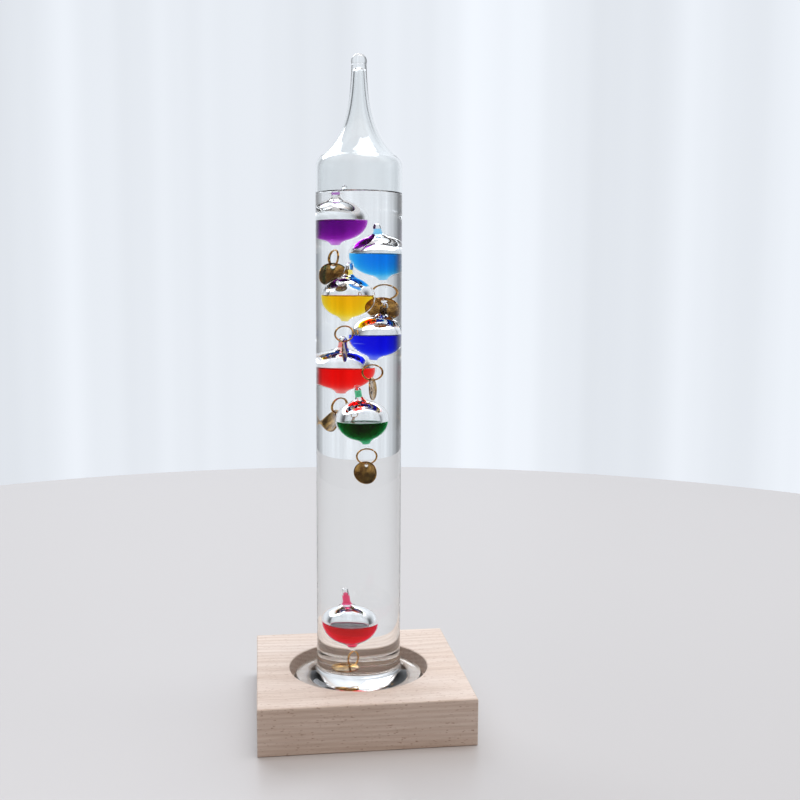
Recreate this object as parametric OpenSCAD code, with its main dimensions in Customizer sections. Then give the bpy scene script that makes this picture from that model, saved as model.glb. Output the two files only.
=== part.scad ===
// Liquid-filled floating-bulb thermometer: a sealed glass column in a recessed beech block.
// Seven dyed glass bulbs, each with a jump ring and a brass tag, hang or rest in the clear liquid.
// Origin: centre of the block's underside. +Z is up and -Y is the front.

/* [Wood base] */
// Side of the square block
base_w = 100; // [80:1:140]
// Height of the block
base_h = 22; // [16:0.5:40]
// Clearance all round the glass foot in the recess
recess_clear = 2; // [1:0.25:5]
// Depth of the round recess in the top
recess_depth = 8; // [4:0.5:12]
// Small bevel on the block's edges and the recess mouth
arris = 0.4; // [0.2:0.1:1]

/* [Glass vessel] */
// Outside diameter of the tube
tube_d = 41; // [38:0.5:56]
// Thickness of the tube wall
tube_wall = 1.5; // [1:0.1:2.5]
// Overall height of the vessel, from the foot to the sealed tip
vessel_h = 302.5; // [260:0.5:400]
// Height of the drawn-down top, from the end of the straight tube to the tip
crown_h = 53; // [44:0.5:70]
// How far the flared foot stands out beyond the tube
foot_flare = 11.5; // [8:0.5:16]
// Thickness of the foot at its rim
foot_rim = 4.4; // [3:0.1:7]
// Radius of the hollow curve between the foot and the tube
flare_r = 6.6; // [3:0.1:8]
// Height of the shallow hollow under the foot, so that it stands on its rim
foot_hollow = 0.5; // [0:0.1:1]
// Thickness of the solid glass under the liquid
floor_t = 7.4; // [5:0.1:11]
// Radius of the rounded shoulder
shoulder_r = 7.5; // [5:0.5:10]
// Radius of the drawn neck, just under the tip
neck_r = 3.1; // [2.5:0.1:4]
// How far the sealed bead at the tip stands out around the neck
bead_lip = 0.6; // [0.4:0.05:1.2]
// Air space over the liquid, measured down from the end of the straight tube
air_gap = 11.8; // [8:0.1:20]

/* [Glass bulbs] */
// Outside diameter of each bulb
bulb_d = 20; // [16:0.5:24]
// Wall of each bulb
bulb_wall = 0.4; // [0.3:0.05:0.9]
// Radius of the drawn stem on the bulb
stem_r = 1.7; // [1.5:0.05:2]
// Height of the stem's tip over the bulb's centre, past the bulb's own radius
stem_h = 7.2; // [5:0.1:9]
// Least gap between a bulb and the tube wall
bulb_gap = 0.4; // [0.3:0.05:1]
// Least gap between one bulb and the next
float_gap = 0.4; // [0.3:0.05:1]
// Depth of the top bulb's crown under the liquid's surface
top_cover = 2.6; // [1:0.1:6]

/* [Rings and tags] */
// Outside diameter of a jump ring
ring_d = 8; // [6:0.25:9]
// Diameter of the ring's wire
wire_d = 0.7; // [0.5:0.05:0.9]
// Diameter of a tag
tag_d = 11; // [9:0.25:12]
// Thickness of a tag
tag_t = 0.5; // [0.3:0.05:0.8]
// Diameter of the hole in a tag
tag_hole_d = 2; // [1.8:0.1:2.6]
// Metal left between a tag's hole and its rim
tag_margin = 0.8; // [0.6:0.05:1.5]

/* [Hidden] */
$fn = 64;

// One row per float, from the top down:
//   name, colour,
//   where it stands: direction from the tube's axis in degrees, share of the free space used,
//   drop from the float above, over one bulb's diameter, lean of the bulb about X and Y,
//   ring: turn about Z, swing in its own plane, tip out of it,
//   tag: place on the ring's wire, turn on the wire, tip about the wire, lift,
//   height of the dye over the bulb's centre, stretch of the stem that dye stands in,
//   how much longer its stem was drawn than the others
FLOATS = [
    ["purple",    "purple",       139, 0.99,    0, [1, 0],   94,   -5,    4,    0,   18,   -1,    0, -0.2, [12.2, 14.6],    0],
    ["lightblue", "deepskyblue",   26, 0.89, -3.7, [6, -4],  21,   -3,    8,    0,   44,    4,    0,  0.6, [10.4, 12.8], -0.8],
    ["yellow",    "orange",       209, 0.60, -0.6, [-1, 4], -36,   -5,  -10,    0,   17,    0,    0,  0.3, [10.6, 13.0],    0],
    ["darkblue",  "mediumblue",     3, 0.74, -1.5, [-3, 8],  20,    2,   -5,    0,  -33,   -3,    0,  0.2, [10.8, 13.8],    0],
    ["red",       "red",          119,  1.0, -3.6, [2, 1],   44,    0,    9,    0,  -46,    6,    0,  0.5, [10.8, 13.4],    0],
    ["green",     "green",        281, 0.57,  3.4, [0, -7],   1,    2,    0,    0,   45,    0,    0, -1.2, [11.4, 14.6],    0],
    ["crimson",   "crimson",      188, 0.37,    0, [0, -5],  55,    0,    0,   46,    0,    0,   35, -0.5, [10.2, 15.8],  2.2],
];
SUNK = len(FLOATS) - 1;

base_r = tube_d / 2;
bore_r = tube_d / 2 - tube_wall;
foot_z = base_h - recess_depth;
foot_r = base_r + foot_flare;
floor_z = foot_z + floor_t;
flare_z = foot_z + foot_rim + flare_r;
tip_z = foot_z + vessel_h;
tube_top = tip_z - crown_h;
liquid_z = tube_top - air_gap;
bead_r = neck_r + bead_lip;
floor_fillet = 2.5;

bulb_r = bulb_d / 2;
cavity_r = bulb_r - bulb_wall;
stem_bore = stem_r - bulb_wall;
top_fillet = 3.2;
nub_r = 1.6;
nub_fillet = 3;
eye_r = 1.6;
eye_hole_r = wire_d / 2 + 0.25;
eye_t = 1;
nub_floor = 1.6;
eye_z = -(bulb_r + 3.6);
ring_r = (ring_d - wire_d) / 2;
tag_r = tag_d / 2;
hole_r = tag_hole_d / 2;
hole_up = tag_r - tag_margin - hole_r;
hang_length = -eye_z + 2 * ring_r + wire_d / 2;
hole_slack = 0.15;
sunk_clear = 2;

function arc(centre, r, from, to, steps = 12) =
    [for (i = [0 : steps]) let (a = from + (to - from) * i / steps) centre + r * [cos(a), sin(a)]];

// The neck still stands this much over its own radius where the bead begins. The shoulder's arc
// turns as far as that needs, whatever the width of the tube, and a few rounds settle the angle.
neck_left = 0.62 * bead_lip;
function neck_fall(turn) = base_r - shoulder_r + shoulder_r * cos(turn) - neck_r;
function neck_run(turn) = (tip_z - bead_r - tube_top - shoulder_r * sin(turn)) / ln(neck_fall(turn) / neck_left);
function settle(turn, rounds) = rounds == 0 ? turn : settle(atan2(neck_fall(turn), neck_run(turn)), rounds - 1);
shoulder_turn = settle(50, 12);

// Radius and slope of the drawn neck, which thins out evenly from the end of the shoulder's arc.
shoulder_centre = [base_r - shoulder_r, tube_top];
neck_start = shoulder_centre + shoulder_r * [cos(shoulder_turn), sin(shoulder_turn)];
neck_drop = neck_start[0] - neck_r;
neck_length = neck_drop / tan(shoulder_turn);
function neck_at(z) = neck_r + neck_drop * exp(-(z - neck_start[1]) / neck_length);
function neck_slope(z) = -(neck_at(z) - neck_r) / neck_length;

bead_z = tip_z - bead_r;
bead_start = acos(neck_at(bead_z) / bead_r);
neck_end = bead_z - bead_r * sin(bead_start);
bore_end = neck_end - 2.5;
neck_steps = 22;

function neck_levels(top) =
    [for (i = [1 : neck_steps]) neck_start[1] + (top - neck_start[1]) * pow(i / neck_steps, 1.3)];

function outer_profile() = concat(
    [for (i = [0 : 6]) let (r = (foot_r - foot_rim) * i / 6)
        [r, foot_z + foot_hollow * (1 - pow(i / 6, 2))]],
    arc([foot_r - 1.2, foot_z + 1.2], 1.2, -90, 0, 5),
    arc([foot_r - 2.2, foot_z + foot_rim - 2.2], 2.2, 0, 90, 8),
    arc([base_r + flare_r, flare_z], flare_r, 270, 180, 12),
    arc(shoulder_centre, shoulder_r, 0, shoulder_turn, 10),
    [for (z = neck_levels(neck_end)) [neck_at(z), z]],
    arc([0, bead_z], bead_r, -bead_start, 90, 10)
);

function floor_profile() = concat(
    [[0, floor_z]],
    arc([bore_r - floor_fillet, floor_z + floor_fillet], floor_fillet, -90, 0, 8)
);

function inner_profile() = concat(
    floor_profile(),
    arc(shoulder_centre, shoulder_r - tube_wall, 0, shoulder_turn, 10),
    [for (z = neck_levels(bore_end))
        let (s = neck_slope(z), q = sqrt(1 + s * s))
        [neck_at(z) - tube_wall / q, z + tube_wall * s / q]],
    [[0.9, bore_end + 0.9], [0, bore_end + 1.2]]
);

// The bulb's outline: a sphere with a hollow curve up into the stem and another down into the nub.
function fillet_z(rod, fillet) = sqrt(pow(bulb_r + fillet, 2) - pow(rod + fillet, 2));
stem_fillet_z = fillet_z(stem_r, top_fillet);
nub_fillet_z = fillet_z(nub_r, nub_fillet);
stem_angle = atan2(stem_fillet_z, stem_r + top_fillet);
nub_angle = atan2(nub_fillet_z, nub_r + nub_fillet);

function stem_top(i) = bulb_r + stem_h + FLOATS[i][15];

function bulb_outline(i) = concat(
    [[0, eye_z + eye_r / 2], [1, eye_z + eye_r / 2], [nub_r, -nub_fillet_z]],
    arc([nub_r + nub_fillet, -nub_fillet_z], nub_fillet, 180, 180 - nub_angle, 8),
    arc([0, 0], bulb_r, -nub_angle, stem_angle, 36),
    arc([stem_r + top_fillet, stem_fillet_z], top_fillet, 180 + stem_angle, 180, 8),
    arc([0, stem_top(i) - stem_r * 0.8], stem_r * 0.8, 0, 90, 6)
);

// The cavity runs down into the nub and ends nub_floor above the eyelet's hole.
nub_end = eye_z + eye_hole_r + nub_floor;
nub_open = asin((nub_end + 0.15 + nub_fillet_z) / (nub_fillet + bulb_wall));

function cavity_outline(i) = concat(
    [[0, nub_end], [nub_r / 2, nub_end + 0.03]],
    arc([nub_r + nub_fillet, -nub_fillet_z], nub_fillet + bulb_wall, 180 - nub_open, 180 - nub_angle, 8),
    arc([0, 0], cavity_r, -nub_angle, stem_angle, 40),
    arc([stem_r + top_fillet, stem_fillet_z], top_fillet + bulb_wall, 180 + stem_angle, 180, 8),
    arc([0, stem_top(i) - 2], stem_bore * 0.8, 0, 90, 6)
);

// Where each float stands. A float never hangs so close under the one above that the bulbs touch.
free_r = bore_r - bulb_r - bulb_gap;
function spot(i) = free_r * FLOATS[i][3] * [cos(FLOATS[i][2]), sin(FLOATS[i][2])];
function drop(i) = max(bulb_d + FLOATS[i][4],
    sqrt(max(0, pow(bulb_d + float_gap, 2) - pow(norm(spot(i) - spot(i - 1)), 2))));
function height(i) =
    i == SUNK ? floor_z + sunk_clear + hang_length :
    i == 0 ? liquid_z - bulb_r - top_cover : height(i - 1) - drop(i);
function centre(i) = [spot(i)[0], spot(i)[1], height(i)];

module at_bulb(i) {
    translate(centre(i)) rotate([FLOATS[i][5][0], FLOATS[i][5][1], 0]) children();
}

// The eyelet's hole, where the ring hangs: the ring lies in this frame's XZ plane, its wire along X.
module at_ring(i) {
    f = FLOATS[i];
    translate(centre(i)) multmatrix(lean_shift(i)) rotate([0, 0, f[6]]) rotate([f[8], f[7], 0]) children();
}

function lean_shift(i) =
    let (lx = FLOATS[i][5][0], ly = FLOATS[i][5][1],
         down = [sin(ly) * cos(lx), -sin(lx), cos(ly) * cos(lx)] * eye_z)
    [[1, 0, 0, down[0]], [0, 1, 0, down[1]], [0, 0, 1, down[2]], [0, 0, 0, 1]];

// How far the hole's centre hangs under the wire's, which is less where the tag lies over on the wire.
function hang(i) = hole_r - hole_slack - wire_d / 2 / cos(FLOATS[i][12]) - tag_t / 2 * tan(FLOATS[i][12]);

// The tag's place on the wire: its disc stands across the wire, which bears on the hole's edge.
module at_tag(i) {
    f = FLOATS[i];
    at_ring(i) translate([0, 0, -ring_r]) rotate([0, f[9], 0]) translate([0, 0, -ring_r])
        rotate([f[11], f[12], 0]) rotate([0, 0, f[10]]) translate([0, 0, -hang(i)]) children();
}

module chamfered_square(size, bevel) {
    w = size[0] / 2;
    h = size[1] / 2;
    polygon([[bevel - w, -h], [w - bevel, -h], [w, bevel - h], [w, h - bevel],
             [w - bevel, h], [bevel - w, h], [-w, h - bevel], [-w, bevel - h]]);
}

module wood_base() {
    recess_r = foot_r + recess_clear;
    color("burlywood") difference() {
        intersection() {
            linear_extrude(base_h) chamfered_square([base_w, base_w], arris);
            translate([0, 0, base_h / 2]) rotate([90, 0, 0])
                linear_extrude(base_w, center = true) chamfered_square([base_w, base_h], arris);
            translate([0, 0, base_h / 2]) rotate([90, 0, 90])
                linear_extrude(base_w, center = true) chamfered_square([base_w, base_h], arris);
        }
        translate([0, 0, foot_z]) cylinder(r = recess_r, h = recess_depth + 1);
        translate([0, 0, base_h - arris]) cylinder(r1 = recess_r, r2 = recess_r + 2 * arris, h = 2 * arris);
    }
}

module glass_vessel() {
    color("lightcyan", 0.3) difference() {
        rotate_extrude() polygon(outer_profile());
        rotate_extrude() polygon(inner_profile());
    }
}

module clear_fluid() {
    room = 0.1;
    color("azure", 0.2) difference() {
        rotate_extrude() polygon(concat(floor_profile(), [[bore_r, liquid_z], [0, liquid_z]]));
        for (i = [0 : SUNK]) {
            at_bulb(i) {
                sphere(r = bulb_r + room);
                cylinder(r = bulb_r * cos(stem_angle) + room, h = stem_top(i) + room);
                translate([0, 0, eye_z - eye_r - room])
                    cylinder(r = bulb_r * cos(nub_angle) + room, h = -eye_z + eye_r);
            }
            at_ring(i) translate([0, 0, -ring_r]) rotate([90, 0, 0])
                cylinder(r = ring_d / 2 + room, h = wire_d + 2 * room, center = true);
            at_tag(i) translate([0, 0, -hole_up]) rotate([0, 90, 0])
                cylinder(r = tag_r + room, h = tag_t + 2 * room, center = true);
        }
    }
}

module eyelet() {
    difference() {
        rotate_extrude() polygon([
            [0, -eye_t / 2], [eye_r - 0.25, -eye_t / 2], [eye_r, -eye_t / 2 + 0.25],
            [eye_r, eye_t / 2 - 0.25], [eye_r - 0.25, eye_t / 2], [0, eye_t / 2]]);
        cylinder(r = eye_hole_r, h = 2 * eye_t, center = true);
    }
}

module bulb(i) {
    color("lightcyan", 0.4) at_bulb(i) difference() {
        union() {
            rotate_extrude() polygon(bulb_outline(i));
            translate([0, 0, eye_z]) rotate([0, 0, FLOATS[i][6]]) rotate([0, 90, 0]) eyelet();
        }
        translate([0, 0, eye_z]) rotate([0, 0, FLOATS[i][6]]) rotate([0, 90, 0])
            cylinder(r = eye_hole_r, h = 2 * eye_t, center = true);
        rotate_extrude() polygon(cavity_outline(i));
    }
}

module dye(i) {
    level = FLOATS[i][13];
    plug = FLOATS[i][14];
    color(FLOATS[i][1]) {
        intersection() {
            at_bulb(i) rotate_extrude() polygon(cavity_outline(i));
            translate(centre(i) + [0, 0, level - bulb_d]) cylinder(r = bulb_r + 1, h = bulb_d);
        }
        at_bulb(i) intersection() {
            rotate_extrude() polygon(cavity_outline(i));
            translate([0, 0, plug[0]]) cylinder(r = stem_r, h = plug[1] - plug[0]);
        }
    }
}

module ring(i) {
    color("goldenrod") at_ring(i) translate([0, 0, -ring_r]) rotate([90, 0, 0])
        rotate_extrude() translate([ring_r, 0]) circle(r = wire_d / 2, $fn = 32);
}

module tag(i) {
    bevel = tag_t / 6;
    color("gold") at_tag(i) rotate([0, 90, 0]) difference() {
        translate([hole_up, 0, 0]) rotate_extrude() polygon([
            [0, -tag_t / 2], [tag_r - bevel, -tag_t / 2], [tag_r, -tag_t / 2 + bevel],
            [tag_r, tag_t / 2 - bevel], [tag_r - bevel, tag_t / 2], [0, tag_t / 2]]);
        cylinder(r = hole_r, h = 2 * tag_t, center = true);
    }
}

wood_base();
glass_vessel();
clear_fluid();
for (i = [0 : SUNK]) {
    bulb(i);
    dye(i);
    ring(i);
    tag(i);
}
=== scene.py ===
"""Galileo thermometer: a sealed glass column of clear liquid with seven dyed glass floats, in a beech block.

Metres, in the part's own frame: the origin is the centre of the block's underside, +Z up, -Y the front.
"""

import math

import bmesh
import bpy
from mathutils import Euler, Matrix, Vector


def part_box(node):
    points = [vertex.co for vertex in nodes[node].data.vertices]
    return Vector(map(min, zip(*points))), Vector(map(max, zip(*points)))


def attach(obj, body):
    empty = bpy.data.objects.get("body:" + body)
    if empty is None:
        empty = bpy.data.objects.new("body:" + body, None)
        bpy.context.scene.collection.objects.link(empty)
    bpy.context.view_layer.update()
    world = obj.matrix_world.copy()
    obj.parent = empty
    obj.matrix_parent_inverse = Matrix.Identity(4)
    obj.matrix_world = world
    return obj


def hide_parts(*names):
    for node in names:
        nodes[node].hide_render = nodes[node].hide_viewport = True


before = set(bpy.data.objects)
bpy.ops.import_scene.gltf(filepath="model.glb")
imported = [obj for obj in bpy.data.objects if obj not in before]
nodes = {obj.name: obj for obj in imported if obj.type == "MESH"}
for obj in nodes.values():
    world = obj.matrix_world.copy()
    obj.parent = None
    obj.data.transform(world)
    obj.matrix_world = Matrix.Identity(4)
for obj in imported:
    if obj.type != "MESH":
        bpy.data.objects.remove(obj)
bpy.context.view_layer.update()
scene = bpy.context.scene

# --- Camera -----------------------------------------------------------------------------------
# A long-ish lens a little above the middle of the column, turned slightly to the right of it.
# It stands half a metre off, so that the block's top shows and the column stays almost upright.
YAW, PITCH, ROLL = math.radians(7.84), math.radians(6.137), math.radians(0.286)
camera = bpy.data.objects.new("camera", bpy.data.cameras.new("camera"))
scene.collection.objects.link(camera)
camera.data.sensor_width = 36.0
camera.data.lens = 46.43
camera.data.clip_start, camera.data.clip_end = 0.01, 50.0
camera.location = (-0.04783, -0.49325, 0.2074)
look = Vector((math.sin(YAW) * math.cos(PITCH), math.cos(YAW) * math.cos(PITCH), -math.sin(PITCH)))
level_right = Vector((math.cos(YAW), -math.sin(YAW), 0.0))
right = math.cos(ROLL) * level_right + math.sin(ROLL) * level_right.cross(look)
camera.matrix_world = Matrix.Translation(camera.location) @ Matrix(
    (right, right.cross(look), -look)).transposed().to_4x4()
scene.camera = camera

# --- Wood block: one square of beech, sawn, bored with a flat-bottomed recess and fine sanded ---
# The recess holds the glass foot by its weight. Every edge has a small sanded arris.
# Beech is pale and pinkish, with close rings, fine fibre and short dark ray flecks.
MM = 0.001
RING_SPACING = 2.4 * MM
RING_HEART = (0.0, 0.02, 0.07)


def colour(code):
    """An sRGB hex code as a linear colour."""
    parts = [int(code[i:i + 2], 16) / 255 for i in (0, 2, 4)]
    return tuple(c / 12.92 if c <= 0.04045 else ((c + 0.055) / 1.055) ** 2.4 for c in parts) + (1.0,)


def add_node(material, kind, inputs=None, **settings):
    """Adds one shader node. Inputs are values or other nodes' outputs."""
    made = material.node_tree.nodes.new("ShaderNode" + kind)
    for key, value in settings.items():
        setattr(made, key, value)
    for key, value in (inputs or {}).items():
        if isinstance(value, bpy.types.NodeSocket):
            material.node_tree.links.new(value, made.inputs[key])
        else:
            made.inputs[key].default_value = value
    return made


def new_material(name, **values):
    """A material with one Principled shader, set by its sockets' names."""
    made = bpy.data.materials.new(name)
    made.use_nodes = True
    shader = made.node_tree.nodes["Principled BSDF"]
    for key, value in values.items():
        shader.inputs[key.replace("_", " ")].default_value = value
    return made, shader


def feed(material, shader, **outputs):
    """Links nodes' outputs to the shader's sockets, by the sockets' names."""
    for key, output in outputs.items():
        material.node_tree.links.new(output, shader.inputs[key.replace("_", " ")])


def set_stops(ramp, *stops):
    """Sets a colour ramp's stops, each a position and a linear colour."""
    for stop, (position, shade) in zip(ramp.color_ramp.elements, stops):
        stop.position, stop.color = position, shade


beech, shader = new_material("beech_fine_sanded", IOR=1.5, Roughness=0.55)
place = add_node(beech, "TexCoord").outputs["Object"]
# The grain runs along X and wanders a few millimetres to either side.
wander = add_node(beech, "Mapping", {"Vector": place, "Scale": (6.0, 25.0, 25.0)})
wander = add_node(beech, "TexNoise", {"Vector": wander.outputs["Vector"], "Scale": 1.0, "Detail": 1.0})
shift = add_node(beech, "VectorMath", {0: wander.outputs["Color"], 1: (0.0, 12 * MM, 12 * MM)},
                 operation="MULTIPLY")
grain = add_node(beech, "VectorMath", {0: place, 1: shift.outputs["Vector"]}, operation="ADD").outputs["Vector"]
# Growth rings, round a heart that ran 70 mm under the block. At a scale of one they are 0.314 m apart.
rings = add_node(beech, "Mapping", {"Vector": grain, "Location": RING_HEART})
rings = add_node(beech, "TexWave", {"Vector": rings.outputs["Vector"], "Scale": 0.314 / RING_SPACING,
                                    "Distortion": 1.5, "Detail": 2.0, "Detail Scale": 0.6},
                 wave_type="RINGS", rings_direction="X")
tone = add_node(beech, "ValToRGB", {"Fac": rings.outputs["Fac"]})
set_stops(tone, (0.0, colour("E6DAD1")), (1.0, colour("DCCDC2")))
# Fibre in cells 22 mm long and 0.9 mm wide, which is coarser than real so that it shows.
fibre = add_node(beech, "Mapping", {"Vector": grain, "Scale": (45.0, 1100.0, 1100.0)})
fibre = add_node(beech, "TexNoise", {"Vector": fibre.outputs["Vector"], "Scale": 1.0, "Detail": 3.0})
fine = add_node(beech, "ValToRGB", {"Fac": fibre.outputs["Fac"]})
set_stops(fine, (0.32, (0.90, 0.87, 0.84, 1)), (0.62, (1.04, 1.03, 1.02, 1)))
# Ray flecks: dark dashes up to 2.2 mm long and 0.5 mm wide.
fleck = add_node(beech, "Mapping", {"Vector": grain, "Scale": (450.0, 2100.0, 2100.0)})
fleck = add_node(beech, "TexNoise", {"Vector": fleck.outputs["Vector"], "Scale": 1.0, "Detail": 1.0})
fleck = add_node(beech, "MapRange", {"Value": fleck.outputs["Fac"], "From Min": 0.65, "From Max": 0.76})
# Broad patches, 125 mm long and 17 mm wide, where the board took up less light.
broad = add_node(beech, "Mapping", {"Vector": place, "Scale": (8.0, 60.0, 60.0)})
broad = add_node(beech, "TexNoise", {"Vector": broad.outputs["Vector"], "Scale": 1.0, "Detail": 2.0})
patch = add_node(beech, "ValToRGB", {"Fac": broad.outputs["Fac"]})
set_stops(patch, (0.35, (0.96, 0.93, 0.90, 1)), (0.65, (1.0, 1.0, 1.0, 1)))
wood = add_node(beech, "Mix", {6: tone.outputs["Color"], 7: fine.outputs["Color"], 0: 1.0},
                data_type="RGBA", blend_type="MULTIPLY")
wood = add_node(beech, "Mix", {6: wood.outputs[2], 7: patch.outputs["Color"], 0: 1.0},
                data_type="RGBA", blend_type="MULTIPLY")
wood = add_node(beech, "Mix", {0: fleck.outputs["Result"], 6: wood.outputs[2], 7: colour("A98873")},
                data_type="RGBA", blend_type="MIX")
polish = add_node(beech, "MapRange", {"Value": fibre.outputs["Fac"], "To Min": 0.62, "To Max": 0.48})
lift = add_node(beech, "Bump", {"Height": fibre.outputs["Fac"], "Distance": 0.06 * MM, "Strength": 0.6})
feed(beech, shader, Base_Color=wood.outputs[2], Roughness=polish.outputs["Result"], Normal=lift.outputs["Normal"])
block = nodes["wood_base"]
block.data.materials.clear()
block.data.materials.append(beech)

# --- Glass vessel: one length of blown tube, drawn to a neck and sealed, with a pressed-out foot ---
# The thick foot spreads under the tube and is solid glass up to the floor of the bore.
# Clear polished glass bends what is behind it and shows dark lines along its edges.
(_, _, FOOT_Z), (FOOT_R, _, TIP_Z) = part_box("glass_vessel")
(_, _, FLOOR_Z), (BORE_R, _, LIQUID_Z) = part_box("clear_fluid")
WALL, RIM, FLARE, CROWN = 1.5 * MM, 4.4 * MM, 6.6 * MM, 53 * MM
SHOULDER, SHOULDER_TURN, NECK, BEAD = 7.5 * MM, 51.0, 3.1 * MM, 3.7 * MM
HOLLOW, UNDER_ROUND, OVER_ROUND, FLOOR_ROUND, SEAT_GAP = 0.5 * MM, 1.2 * MM, 2.2 * MM, 2.5 * MM, 0.03 * MM
TUBE_R, TUBE_TOP = BORE_R + WALL, TIP_Z - CROWN
MENISCUS, CLIMB_WIDTH = 0.6 * MM, 0.5 * MM
IOR_GLASS, IOR_LIQUID, IOR_DYE = 1.47, 1.445, 1.44
TUBE_SIDES, NECK_STEPS = 192, 48


def arc(x, z, r, start, end, steps):
    """Points of an arc round (x, z), with the angles in degrees."""
    turns = [math.radians(start + (end - start) * i / steps) for i in range(steps + 1)]
    return [(x + r * math.cos(t), z + r * math.sin(t)) for t in turns]


def circle(r, sides):
    """Points round the axis."""
    turns = [2 * math.pi * i / sides for i in range(sides)]
    return [(r * math.cos(t), r * math.sin(t)) for t in turns]


def lathe(profile, sides):
    """Vertices and faces of a closed turned surface. Points on the axis become one vertex."""
    verts, rows, faces = [], [], []
    for r, z in profile:
        ring = circle(r, sides) if r >= 1e-7 else [(r, 0.0)]
        rows.append([len(verts) + i for i in range(len(ring))])
        verts += [(x, y, z) for x, y in ring]
    for low, high in zip(rows, rows[1:]):
        for i in range(sides):
            j = (i + 1) % sides
            corners = [low[i % len(low)], low[j % len(low)], high[j % len(high)], high[i % len(high)]]
            corners = [c for k, c in enumerate(corners) if c != corners[k - 1]]
            if len(corners) > 2:
                faces.append(corners)
    return verts, faces


def join_parts(*parts):
    """Vertices and faces of several meshes as one."""
    verts, faces = [], []
    for more_verts, more_faces in parts:
        faces += [[i + len(verts) for i in face] for face in more_faces]
        verts += more_verts
    return verts, faces


def flipped(mesh):
    return mesh[0], [tuple(face[::-1]) for face in mesh[1]]


def add_object(name, verts, faces):
    """A mesh object in the scene."""
    mesh = bpy.data.meshes.new(name)
    mesh.from_pydata(verts, [], faces)
    mesh.update()
    made = bpy.data.objects.new(name, mesh)
    scene.collection.objects.link(made)
    return made


def make_piece(name, mesh, materials, body, node, pick=None):
    """A smooth piece that rides on a body in a node's place. pick(centre) gives a face's material number."""
    made = add_object(name, *mesh)
    for material in materials:
        made.data.materials.append(material)
    for face in made.data.polygons:
        face.use_smooth = True
        if pick:
            face.material_index = pick(face.center)
    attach(made, body)
    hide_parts(node)
    return made


clear_glass, _ = new_material("clear_glass_over_air", Base_Color=colour("FBFDFD"), Roughness=0.0,
                              IOR=IOR_GLASS, Transmission_Weight=1.0)
# Where glass meets liquid the two bend light almost alike, so the surface nearly vanishes.
wetted_glass, _ = new_material("clear_glass_under_liquid", Base_Color=colour("FFFFFF"), Roughness=0.0,
                               IOR=IOR_GLASS / IOR_LIQUID, Transmission_Weight=1.0)

# The neck thins out evenly from where the shoulder's arc ends, and runs into the sealed bead.
shoulder_x = TUBE_R - SHOULDER
neck_x = shoulder_x + SHOULDER * math.cos(math.radians(SHOULDER_TURN))
neck_z = TUBE_TOP + SHOULDER * math.sin(math.radians(SHOULDER_TURN))
neck_run = (neck_x - NECK) / math.tan(math.radians(SHOULDER_TURN))


def neck_at(z):
    return NECK + (neck_x - NECK) * math.exp(-(z - neck_z) / neck_run)


def neck_levels(top):
    return [neck_z + (top - neck_z) * (i / NECK_STEPS) ** 1.3 for i in range(1, NECK_STEPS + 1)]


bead_z = TIP_Z - BEAD
bead_turn = math.degrees(math.acos(neck_at(bead_z) / BEAD))
neck_end = bead_z - BEAD * math.sin(math.radians(bead_turn))
bore_end = neck_end - 2.5 * MM
contact_z = LIQUID_Z + MENISCUS

outside = [((FOOT_R - RIM) * i / 12, FOOT_Z + HOLLOW * (1 - (i / 12) ** 2) + SEAT_GAP) for i in range(13)]
outside += arc(FOOT_R - UNDER_ROUND, FOOT_Z + UNDER_ROUND, UNDER_ROUND, -90, 0, 8)
outside += arc(FOOT_R - OVER_ROUND, FOOT_Z + RIM - OVER_ROUND, OVER_ROUND, 0, 90, 14)
outside += arc(TUBE_R + FLARE, FOOT_Z + RIM + FLARE, FLARE, 270, 180, 24)
outside += arc(shoulder_x, TUBE_TOP, SHOULDER, 0, SHOULDER_TURN, 20)
outside += [(neck_at(z), z) for z in neck_levels(neck_end)]
outside += arc(0.0, bead_z, BEAD, -bead_turn, 90, 20)
outside[-1] = (0.0, TIP_Z)
inside = [(0.0, FLOOR_Z)] + arc(BORE_R - FLOOR_ROUND, FLOOR_Z + FLOOR_ROUND, FLOOR_ROUND, -90, 0, 14)
inside += [(BORE_R, contact_z)] + arc(shoulder_x, TUBE_TOP, SHOULDER - WALL, 0, SHOULDER_TURN, 20)
for z in neck_levels(bore_end):
    slope = -(neck_at(z) - NECK) / neck_run
    q = math.hypot(1, slope)
    inside.append((neck_at(z) - WALL / q, z + WALL * slope / q))
inside += [(0.9 * MM, bore_end + 0.9 * MM), (0.0, bore_end + 1.2 * MM)]


def vessel_finish(c):
    wet = math.hypot(c.x, c.y) < BORE_R + 0.3 * MM and FLOOR_Z - 0.1 * MM < c.z < contact_z
    return 1 if wet else 0


make_piece("glass_vessel_blown", join_parts(lathe(outside, TUBE_SIDES), flipped(lathe(inside, TUBE_SIDES))),
           [clear_glass, wetted_glass], "vessel", "glass_vessel", vessel_finish)

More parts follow.
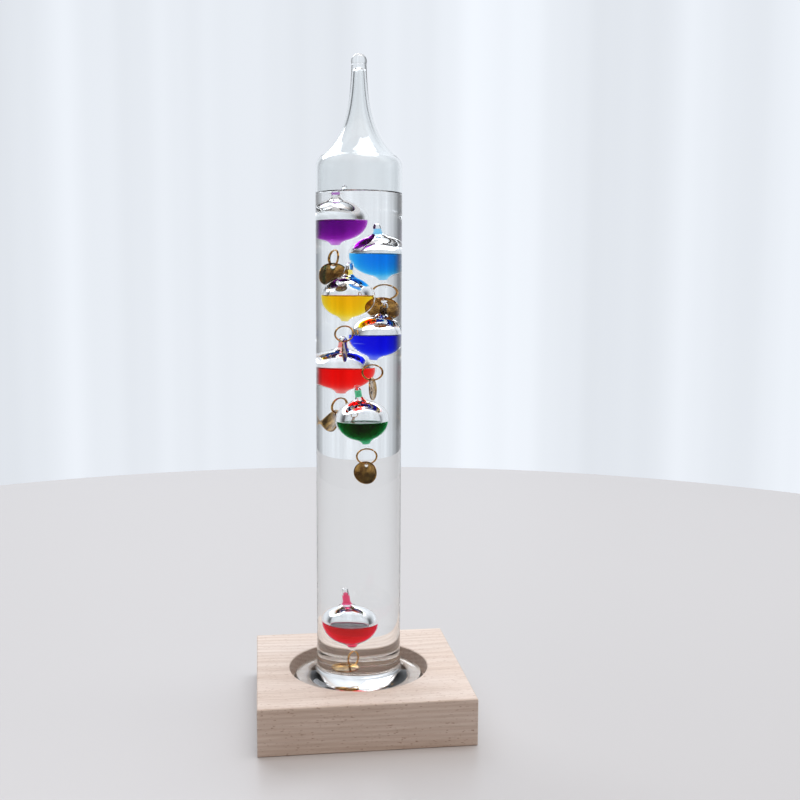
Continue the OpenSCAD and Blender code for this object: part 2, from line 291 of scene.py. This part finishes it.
# --- Clear liquid: fills the tube to just under the shoulder, with air over it ---
# A light oil. Its surface climbs the glass a little at the wall and round the top float's stem.
# It is colourless, so only its surface and the way it bends light show.
FLOATS = {
    # name: centre in mm, lean about X and Y, ring turn, swing and tip, tag place, turn, tip and lift, numeral
    "purple": ((-6.43, 5.59, 239.10), (1, 0), (94, -5, 4), (0, 18, -1, 0), "30"),
    "lightblue": ((6.88, 3.36, 222.80), (6, -4), (21, -3, 8), (0, 44, 4, 0), "28"),
    "yellow": ((-4.51, -2.50, 203.40), (-1, 4), (-36, -5, -10), (0, 17, 0, 0), "26"),
    "darkblue": ((6.36, 0.33, 184.90), (-3, 8), (20, 2, -5), (0, -33, -3, 0), "24"),
    "red": ((-4.17, 7.52, 168.50), (2, 1), (44, 0, 9), (0, -46, 6, 0), "22"),
    "green": ((0.94, -4.81, 145.10), (0, -7), (1, 2, 0), (0, 45, 0, 0), "20"),
    "crimson": ((-3.15, -0.44, 44.65), (0, -5), (55, 0, 0), (46, 0, 0, 35), "18"),
}
STEM_R, STEM_CLIMB, STEM_SIDES = 1.7 * MM, 0.8 * MM, 48
LIQUID_INSET = 0.04 * MM


def turned(x, y, z):
    """Rotation about X, then Y, then Z, in degrees."""
    return Euler([math.radians(v) for v in (x, y, z)]).to_matrix().to_4x4()


def bulb_place(name):
    centre, lean = FLOATS[name][:2]
    return Matrix.Translation(Vector(centre) * MM) @ turned(*lean, 0)


def shape_from(mesh):
    """A bmesh of the vertices and faces."""
    shape = bmesh.new()
    points = [shape.verts.new(v) for v in mesh[0]]
    for face in mesh[1]:
        shape.faces.new([points[i] for i in face])
    return shape, points


def lists_from(shape):
    """The vertices and faces of a bmesh, which is freed."""
    shape.verts.index_update()
    made = [tuple(v.co) for v in shape.verts], [tuple(v.index for v in face.verts) for face in shape.faces]
    shape.free()
    return made


liquid_skin, _ = new_material("clear_liquid_surface", Base_Color=colour("FFFFFF"), Roughness=0.0,
                              IOR=IOR_LIQUID, Transmission_Weight=1.0)
liquid_body, _ = new_material("clear_liquid_against_glass", Base_Color=colour("FFFFFF"), Roughness=0.0,
                              IOR=1.0, Transmission_Weight=1.0)
stem_foot = bulb_place("purple") @ Vector((0, 0, LIQUID_Z - FLOATS["purple"][0][2] * MM))
liquid_r = BORE_R - LIQUID_INSET
from_wall = [v * MM for v in (0.0, 0.1, 0.2, 0.4, 0.7, 1.1, 1.6, 2.3, 3.2)]
liquid, points = shape_from(lathe(
    [(0.0, FLOOR_Z + LIQUID_INSET)]
    + arc(BORE_R - FLOOR_ROUND, FLOOR_Z + FLOOR_ROUND, FLOOR_ROUND - LIQUID_INSET, -90, 0, 10)
    + [(liquid_r - d, LIQUID_Z + MENISCUS * math.exp(-d / CLIMB_WIDTH)) for d in from_wall], TUBE_SIDES))
outer_rim = points[-TUBE_SIDES:]
for v in outer_rim:
    v.co.z = LIQUID_Z
# The skin stops at the stem that comes up through it, with a small climb there too.
loops = [[liquid.verts.new((stem_foot.x + x, stem_foot.y + y, LIQUID_Z + climb))
          for x, y in circle(STEM_R + d * MM, STEM_SIDES)]
         for d, climb in [(2.2, 0.0)] + [(d, STEM_CLIMB * math.exp(-d * MM / CLIMB_WIDTH))
                                         for d in (1.2, 0.6, 0.25, 0.0)]]
for outer, inner in zip(loops, loops[1:]):
    for i in range(STEM_SIDES):
        liquid.faces.new((outer[i - 1], outer[i], inner[i], inner[i - 1]))
edges = [liquid.edges.get((loop[i], loop[i - 1])) for loop in (outer_rim, loops[0]) for i in range(len(loop))]
bmesh.ops.triangle_fill(liquid, use_beauty=True, edges=edges, normal=(0, 0, 1))
liquid.faces.new(loops[-1])
bmesh.ops.recalc_face_normals(liquid, faces=liquid.faces)


def liquid_finish(c):
    on_top = c.z > LIQUID_Z - 0.02 * MM and math.hypot(c.x, c.y) < liquid_r - 0.01 * MM
    in_stem = (c - stem_foot).xy.length < 0.2 * MM
    return 0 if on_top and not in_stem else 1


make_piece("clear_liquid", lists_from(liquid), [liquid_skin, liquid_body],
           "vessel", "clear_fluid", liquid_finish)

# --- Float bulbs: thin blown glass, drawn to a closed stem above and a nub with an eyelet below ---
# Each bulb is sealed with dyed liquid in its lower half and a plug of it caught in the stem.
# The air over the dye mirrors the floats around it. The wet glass outside all but disappears.
BULB_R, BULB_WALL, STEM_TOP, STEM_CAP, TOP_FILLET = 10 * MM, 0.4 * MM, 17.2 * MM, 2 * MM, 3.2 * MM
NUB_R, NUB_FILLET, NUB_END = 1.6 * MM, 3 * MM, -11.4 * MM
EYE_Z, EYE_R, EYE_WIRE = -13.6 * MM, 1.15 * MM, 0.45 * MM
CAVITY_R, STEM_BORE = BULB_R - BULB_WALL, STEM_R - BULB_WALL
BULB_SIDES = 64
DYE_CLIMB, DYE_INSET = 0.7 * MM, 0.03 * MM
# In mm from the bulb's centre: the dye's level, the ends of its plug, and what a stem has over the usual height.
LEVELS = {"purple": -0.2, "lightblue": 0.6, "yellow": 0.3, "darkblue": 0.2, "red": 0.5, "green": -1.2,
          "crimson": -0.5}
PLUGS = {"purple": (12.2, 14.6), "lightblue": (10.4, 12.8), "yellow": (10.6, 13.0), "darkblue": (10.8, 13.8),
         "red": (10.8, 13.4), "green": (11.4, 14.6), "crimson": (10.2, 15.8)}
STEM_MORE = {"lightblue": -0.8, "crimson": 2.2}
dye_glass, _ = new_material("bulb_glass_against_dye", Base_Color=colour("FFFFFF"), Roughness=0.0,
                            IOR=IOR_GLASS / IOR_DYE, Transmission_Weight=1.0)
# The hollow curves into the stem and the nub touch the bulb at these heights and angles.
stem_z = math.sqrt((BULB_R + TOP_FILLET) ** 2 - (STEM_R + TOP_FILLET) ** 2)
nub_z = math.sqrt((BULB_R + NUB_FILLET) ** 2 - (NUB_R + NUB_FILLET) ** 2)
stem_turn = math.degrees(math.atan2(stem_z, STEM_R + TOP_FILLET))
nub_turn = math.degrees(math.atan2(nub_z, NUB_R + NUB_FILLET))
nub_open = math.degrees(math.asin((NUB_END + 0.15 * MM + nub_z) / (NUB_FILLET + BULB_WALL)))


def stem_top(name):
    return STEM_TOP + STEM_MORE.get(name, 0.0) * MM


def bulb_outside(top):
    line = [(0.0, EYE_Z + 0.9 * MM), (0.9 * MM, EYE_Z + 1.0 * MM), (NUB_R - 0.1 * MM, -nub_z - 0.2 * MM)]
    line += arc(NUB_R + NUB_FILLET, -nub_z, NUB_FILLET, 180, 180 - nub_turn, 16)
    line += arc(0.0, 0.0, BULB_R, -nub_turn, stem_turn, 64)[1:]
    line += arc(STEM_R + TOP_FILLET, stem_z, TOP_FILLET, 180 + stem_turn, 180, 16)[1:]
    line += arc(0.0, top - STEM_R * 0.8, STEM_R * 0.8, 0, 90, 10)
    return line[:-1] + [(0.0, top)]


def cavity(top, inset=0.0):
    """The bulb's inside, from the nub up to the closed stem. The dye's skin is the same line, set in a little."""
    line = [(0.0, NUB_END + inset), (NUB_R / 2, NUB_END + 0.03 * MM + inset)]
    line += arc(NUB_R + NUB_FILLET, -nub_z, NUB_FILLET + BULB_WALL + inset, 180 - nub_open, 180 - nub_turn, 16)
    line += arc(0.0, 0.0, CAVITY_R - inset, -nub_turn, stem_turn, 64)[1:]
    line += arc(STEM_R + TOP_FILLET, stem_z, TOP_FILLET + BULB_WALL + inset, 180 + stem_turn, 180, 16)[1:]
    line += [(STEM_BORE - inset, z * MM) for z in (12.8, 13.3, 13.8, 14.3, 14.8) if z * MM < top - 2.2 * MM]
    line += arc(0.0, top - STEM_CAP, STEM_BORE * 0.8 - inset, 0, 90, 8)
    return line[:-1] + [(0.0, line[-1][1])]


def torus(r, wire, sides, rounds):
    """A closed wire ring in the XZ plane."""
    verts, faces = [], []
    for i in range(sides):
        a = 2 * math.pi * i / sides
        for j in range(rounds):
            b = 2 * math.pi * j / rounds
            q = r + wire * math.cos(b)
            verts.append((q * math.cos(a), wire * math.sin(b), q * math.sin(a)))
            k, m = (i + 1) % sides, (j + 1) % rounds
            faces.append((i * rounds + j, i * rounds + m, k * rounds + m, k * rounds + j))
    return verts, faces


def moved(matrix, mesh):
    return [tuple(matrix @ Vector(v)) for v in mesh[0]], mesh[1]


def split_level(mesh, z):
    """The mesh with every face cut where it crosses a level, so that a finish can change there."""
    cut, _ = shape_from(mesh)
    bmesh.ops.bisect_plane(cut, geom=cut.verts[:] + cut.edges[:] + cut.faces[:], dist=1e-7,
                           plane_co=(0, 0, z), plane_no=(0, 0, 1))
    return lists_from(cut)


for name, (centre, _, (eye_turn, _, _), _, _) in FLOATS.items():
    place = bulb_place(name)
    dye_line = (centre[2] + LEVELS[name]) * MM + DYE_CLIMB
    plug_low, plug_high = (end * MM for end in PLUGS[name])
    skin = moved(place, lathe(bulb_outside(stem_top(name)), BULB_SIDES))
    if name == "purple":
        skin = split_level(skin, LIQUID_Z + STEM_CLIMB)
    eye = moved(place @ Matrix.Translation((0, 0, EYE_Z)) @ turned(0, 0, eye_turn + 90),
                torus(EYE_R, EYE_WIRE, 28, 12))
    hollow = split_level(moved(place, flipped(lathe(cavity(stem_top(name)), BULB_SIDES))), dye_line)
    bulb = make_piece(name + "_bulb_blown", join_parts(skin, eye, hollow), [clear_glass, wetted_glass, dye_glass],
                      name + "_float", name + "_bulb")
    upright = place.inverted()
    for i, face in enumerate(bulb.data.polygons):
        height = (upright @ face.center).z
        if i < len(skin[1]) + len(eye[1]):
            face.material_index = 0 if face.center.z > LIQUID_Z + STEM_CLIMB else 1
        elif height < 9.5 * MM:
            face.material_index = 2 if face.center.z < dye_line else 0
        else:
            face.material_index = 2 if plug_low < height < plug_high else 0

# --- Dyes: coloured liquid sealed in the bulbs, in an even strength for each ---
# Depth gives the shade: deep in the middle of the bulb, pale where the layer thins at its foot.
# The surface is flat with a dark climbing edge at the glass.
DYES = {
    # name: faint tint of the liquid's face, colour that passes, absorption per metre
    "purple": ("E6CCEE", "E055E8", 400.0),
    "lightblue": ("CDEBFF", "31E5FD", 330.0),
    "yellow": ("FFF0B8", "FFF400", 330.0),
    "darkblue": ("C0C8FF", "0073FB", 400.0),
    "red": ("FFC8C0", "FF4038", 340.0),
    "green": ("A8E4C8", "00D0A0", 620.0),
    "crimson": ("FF86B2", "F8008A", 460.0),
}
DYE_R = CAVITY_R - DYE_INSET
BOWL_TOP, SKIRT_TURN = -4 * MM, -20
PLUG_SIDES, PLUG_CURVE = 32, 0.3 * MM


def cut_line(line, low, high):
    """The stretch of a turned outline between two heights."""
    kept = []
    for (r0, z0), (r1, z1) in zip(line, line[1:]):
        if z1 <= z0 or z1 < low or z0 > high:
            continue
        for z in ([low] if z0 <= low < z1 else []) + ([z1] if z1 < high else [high] if z0 < high else []):
            kept.append((r0 + (r1 - r0) * (z - z0) / (z1 - z0), z))
    return kept


def dye_pool(name, level):
    """The pool: a bowl that leans with the bulb, joined to an upright rim and a level surface."""
    line = cavity(stem_top(name), DYE_INSET)
    rim_z = level + DYE_CLIMB
    rim_r = math.sqrt(DYE_R ** 2 - rim_z ** 2)
    bowl = lathe([(0.0, NUB_END + DYE_INSET)] + [p for p in line[1:] if p[1] < BOWL_TOP], BULB_SIDES)
    upper = arc(0.0, 0.0, DYE_R, SKIRT_TURN, math.degrees(math.asin(rim_z / DYE_R)), 24)
    upper += [(rim_r - d * MM, level + DYE_CLIMB * math.exp(-d * MM / CLIMB_WIDTH))
              for d in (0.1, 0.2, 0.4, 0.7, 1.1, 1.6, 2.4)]
    upper = lathe(upper + [(BULB_R / 2, level), (0.0, level)], BULB_SIDES)
    verts, faces = join_parts(moved(bulb_place(name), bowl),
                              moved(Matrix.Translation(Vector(FLOATS[name][0]) * MM), upper))
    joint = len(bowl[0])
    start = joint - BULB_SIDES
    seam = [[start + i, start + (i + 1) % BULB_SIDES, joint + (i + 1) % BULB_SIDES, joint + i]
            for i in range(BULB_SIDES)]
    return verts, faces + seam


def dye_plug(name):
    """The plug in the stem, with hollow ends."""
    low, high = (end * MM for end in PLUGS[name])
    sides = cut_line(cavity(stem_top(name), DYE_INSET), low, high)
    low_r, high_r = sides[0][0], sides[-1][0]
    line = [(0.0, low + PLUG_CURVE)] + [(low_r * f, low + PLUG_CURVE * (1 - f ** 3)) for f in (0.3, 0.6, 0.85)]
    line += sides + [(high_r * f, high + PLUG_CURVE * (f ** 3 - 1)) for f in (0.85, 0.6, 0.3)]
    return moved(bulb_place(name), lathe(line + [(0.0, high - PLUG_CURVE)], PLUG_SIDES))


for name, (face_tint, passes, strength) in DYES.items():
    surface, _ = new_material(name + "_dye_surface", Base_Color=colour(face_tint), Roughness=0.0,
                              IOR=IOR_DYE, Transmission_Weight=1.0, Specular_Tint=colour(face_tint))
    body, _ = new_material(name + "_dye_body", Base_Color=colour(face_tint), Roughness=0.0,
                           IOR=1.0, Transmission_Weight=1.0)
    for material in (surface, body):
        soak = add_node(material, "VolumeAbsorption", {"Color": colour(passes), "Density": strength})
        material.node_tree.links.new(soak.outputs["Volume"],
                                     material.node_tree.nodes["Material Output"].inputs["Volume"])
    level = LEVELS[name] * MM

    def dye_finish(c, middle=Vector(FLOATS[name][0]) * MM, level=level):
        c = c - middle
        return 1 if c.z > level - 0.01 * MM and c.length < CAVITY_R - 0.12 * MM else 0

    make_piece(name + "_dye_liquid", join_parts(dye_pool(name, level), dye_plug(name)), [body, surface],
               name + "_float", name + "_dye", dye_finish)

# --- Rings: jump rings of brass wire, bent round and closed through the glass eyelet ---
# Drawn brass wire is smooth and bright, with a hairline gap where its ends meet.
RING_R, WIRE_R, RING_STEPS, WIRE_SIDES, RING_GAP = 3.65 * MM, 0.35 * MM, 72, 14, 9
brass_wire, _ = new_material("drawn_brass_wire", Base_Color=colour("D2A256"), Metallic=1.0, Roughness=0.06)


def ring_place(name):
    """The frame at the eyelet's hole: the ring lies in its XZ plane."""
    centre, lean, (turn, swing, tip) = FLOATS[name][:3]
    eye = Vector(centre) * MM + turned(*lean, 0) @ Vector((0, 0, EYE_Z))
    return Matrix.Translation(eye) @ turned(tip, swing, turn)


# The ring is closed all round but for one step, where the wire's two ends face each other.
ring_verts, ring_faces = torus(RING_R, WIRE_R, RING_STEPS, WIRE_SIDES)
ring_faces = [face for i, face in enumerate(ring_faces) if i // WIRE_SIDES != RING_GAP]
ring_faces += [tuple(RING_GAP * WIRE_SIDES + j for j in range(WIRE_SIDES)),
               tuple((RING_GAP + 1) * WIRE_SIDES + j for j in reversed(range(WIRE_SIDES)))]
for name in FLOATS:
    place = ring_place(name) @ Matrix.Translation((0, 0, -RING_R))
    make_piece(name + "_ring_wire", moved(place, (ring_verts, ring_faces)), [brass_wire],
               name + "_ring", name + "_ring")

# --- Tags: round brass discs, stamped out, with a raised rim, a punched hole and a numeral on one face ---
# Each hangs on its ring by the hole. The metal has aged a little, in clouds of tarnish.
TAG_R, TAG_T, HOLE_R, MARGIN, SLACK = 5.5 * MM, 0.5 * MM, 1.0 * MM, 0.8 * MM, 0.15 * MM
HOLE_UP = TAG_R - MARGIN - HOLE_R
FACE, FACE_Z = TAG_T / 2, 0.7 * TAG_T / 2
NUMERAL_SIZE, NUMERAL_RISE, NUMERAL_DROP = 5.0 * MM, 0.04 * MM, 1.2 * MM
brass_tag, shader = new_material("stamped_brass_aged", Metallic=1.0, Roughness=0.3)
place = add_node(brass_tag, "TexCoord").outputs["Object"]
# Clouds of tarnish about 2.4 mm across.
cloud = add_node(brass_tag, "TexNoise", {"Vector": place, "Scale": 420.0, "Detail": 4.0})
metal = add_node(brass_tag, "ValToRGB", {"Fac": cloud.outputs["Fac"]})
set_stops(metal, (0.35, colour("7A5830")), (0.7, colour("DCAE60")))
worn = add_node(brass_tag, "MapRange", {"Value": cloud.outputs["Fac"], "To Min": 0.24, "To Max": 0.06})
feed(brass_tag, shader, Base_Color=metal.outputs["Color"], Roughness=worn.outputs["Result"])


def tag_place(name):
    """The frame at the hole's centre: the disc stands across X and hangs down Z."""
    turn_on_wire, turn, tip, lift = FLOATS[name][3]
    bite = HOLE_R - SLACK - WIRE_R / math.cos(math.radians(lift)) - FACE * math.tan(math.radians(lift))
    return (ring_place(name) @ Matrix.Translation((0, 0, -RING_R)) @ turned(0, turn_on_wire, 0)
            @ Matrix.Translation((0, 0, -RING_R)) @ turned(tip, lift, 0) @ turned(0, 0, turn)
            @ Matrix.Translation((0, 0, -bite)))


def stamp_tag(numeral):
    """A disc in the XY plane with its hole punched square and its numeral raised, as vertices and faces."""
    line = [(0.0, FACE_Z), (TAG_R - 0.7 * MM, FACE_Z), (TAG_R - 0.55 * MM, FACE), (TAG_R - 0.18 * MM, FACE),
            (TAG_R - 0.04 * MM, FACE * 0.8), (TAG_R, FACE * 0.4)]
    disc = add_object("disc", *lathe([(r, -z) for r, z in line] + line[::-1], 72))
    punch = add_object("punch", *lathe([(0.0, -2 * MM), (HOLE_R, -2 * MM), (HOLE_R, 2 * MM), (0.0, 2 * MM)], 40))
    punch.location = (-HOLE_UP, 0, 0)
    text = bpy.data.curves.new("numeral", "FONT")
    text.body, text.size, text.extrude = numeral, NUMERAL_SIZE, NUMERAL_RISE
    text.align_x, text.align_y = "CENTER", "CENTER"
    digits = bpy.data.objects.new("numeral", text)
    scene.collection.objects.link(digits)
    digits.matrix_world = Matrix.Translation((NUMERAL_DROP, 0, FACE_Z)) @ turned(0, 0, 90)
    cut = disc.modifiers.new("hole", "BOOLEAN")
    cut.object, cut.operation, cut.solver = punch, "DIFFERENCE", "EXACT"
    bpy.context.view_layer.update()
    stack = bpy.context.evaluated_depsgraph_get()
    parts = []
    for source in (disc, digits):
        seen = source.evaluated_get(stack)
        shape = seen.to_mesh()
        parts.append(([tuple(source.matrix_world @ v.co) for v in shape.vertices],
                      [tuple(face.vertices) for face in shape.polygons]))
        seen.to_mesh_clear()
    for gone in (disc, punch, digits):
        bpy.data.objects.remove(gone)
    return join_parts(*parts)


for name in FLOATS:
    place = tag_place(name) @ turned(0, 90, 0) @ Matrix.Translation((HOLE_UP, 0, 0))
    tag = make_piece(name + "_tag_disc", moved(place, stamp_tag(FLOATS[name][4])), [brass_tag],
                     name + "_tag", name + "_tag")
    tag.data.set_sharp_from_angle(angle=math.radians(35))

# --- Studio: a pale floor, a pale wall like a lit curtain behind, and soft light all round ---
# The wall's soft upright folds and the dimmer sides are what the glass draws its edges from.
world = bpy.data.worlds.new("studio")
scene.world = world
world.use_nodes = True
aim = add_node(world, "TexCoord").outputs["Generated"]
split = add_node(world, "SeparateXYZ", {0: aim})
# The wall is bright straight behind and falls off to the sides, and its folds run upright.
around = add_node(world, "Math", {0: split.outputs["X"], 1: split.outputs["Y"]}, operation="ARCTAN2")
folds = add_node(world, "CombineXYZ", {0: around.outputs[0]})
folds = add_node(world, "TexNoise", {"Vector": folds.outputs[0], "Scale": 7.0, "Detail": 3.0, "Roughness": 0.5})
folds = add_node(world, "MapRange", {"Value": folds.outputs["Fac"], "From Min": 0.3, "From Max": 0.7,
                                     "To Min": 0.82, "To Max": 1.10})
back = add_node(world, "VectorMath", {0: aim, 1: (0.2, 0.98, 0.0)}, operation="DOT_PRODUCT")
back = add_node(world, "MapRange", {"Value": back.outputs["Value"], "From Min": 0.42, "From Max": 0.93,
                                    "To Min": 0.13, "To Max": 1.0}, interpolation_type="SMOOTHSTEP")
front = add_node(world, "MapRange", {"Value": split.outputs["Y"], "From Min": -1.0, "From Max": -0.5,
                                     "To Min": 0.10, "To Max": 0.0}, interpolation_type="SMOOTHSTEP")
shine = add_node(world, "Math", {0: back.outputs["Result"], 1: front.outputs["Result"]}, operation="ADD")
shine = add_node(world, "Math", {0: folds.outputs["Result"], 1: shine.outputs[0]}, operation="MULTIPLY")
above = add_node(world, "MapRange", {"Value": split.outputs["Z"], "From Min": 0.35, "From Max": 0.9,
                                     "To Min": 0.0, "To Max": 0.9}, interpolation_type="SMOOTHSTEP")
shine = add_node(world, "Math", {0: shine.outputs[0], 1: above.outputs["Result"]}, operation="ADD")
# The front is a little warm and the wall a little cool.
warmth = add_node(world, "MapRange", {"Value": split.outputs["Y"], "From Min": -0.6, "From Max": 0.3})
tint = add_node(world, "Mix", {0: warmth.outputs["Result"], 6: colour("FFE6D6"), 7: colour("EDF2F9")},
                data_type="RGBA")
glow = add_node(world, "Background", {"Color": tint.outputs[2], "Strength": shine.outputs[0]})
world.node_tree.links.new(glow.outputs[0], world.node_tree.nodes["World Output"].inputs[0])

FLOOR_R = 0.7
floor = add_object("floor", [(x, y, 0.0) for x, y in circle(FLOOR_R, 128)], [tuple(range(128))])
pale_floor, _ = new_material("pale_floor", Base_Color=colour("C6C6C7"), Roughness=0.35)
floor.data.materials.append(pale_floor)

for label, place_at, aim_at, size, power, tint in (
        ("window", (-0.5, 1.3, 1.5), (0, 0, 0.15), (1.2, 1.0), 12.0, "F4F8FF"),
        ("overhead", (0.3, 0.1, 1.6), (0, 0, 0.0), (0.8, 0.8), 10.0, "FFFFFF")):
    lamp = bpy.data.lights.new(label, "AREA")
    lamp.shape, lamp.size, lamp.size_y = "RECTANGLE", *size
    lamp.energy, lamp.color = power, colour(tint)[:3]
    holder = bpy.data.objects.new(label, lamp)
    scene.collection.objects.link(holder)
    holder.location = place_at
    holder.rotation_euler = (Vector(aim_at) - Vector(place_at)).to_track_quat("-Z", "Y").to_euler()

# Light has to cross many layers of glass and liquid before it dims.
scene.view_settings.view_transform = "Standard"
scene.cycles.max_bounces = 36
scene.cycles.transmission_bounces = 36
scene.cycles.transparent_max_bounces = 16
scene.cycles.glossy_bounces = 8
scene.cycles.sample_clamp_indirect = 3.5
scene.cycles.blur_glossy = 0.5
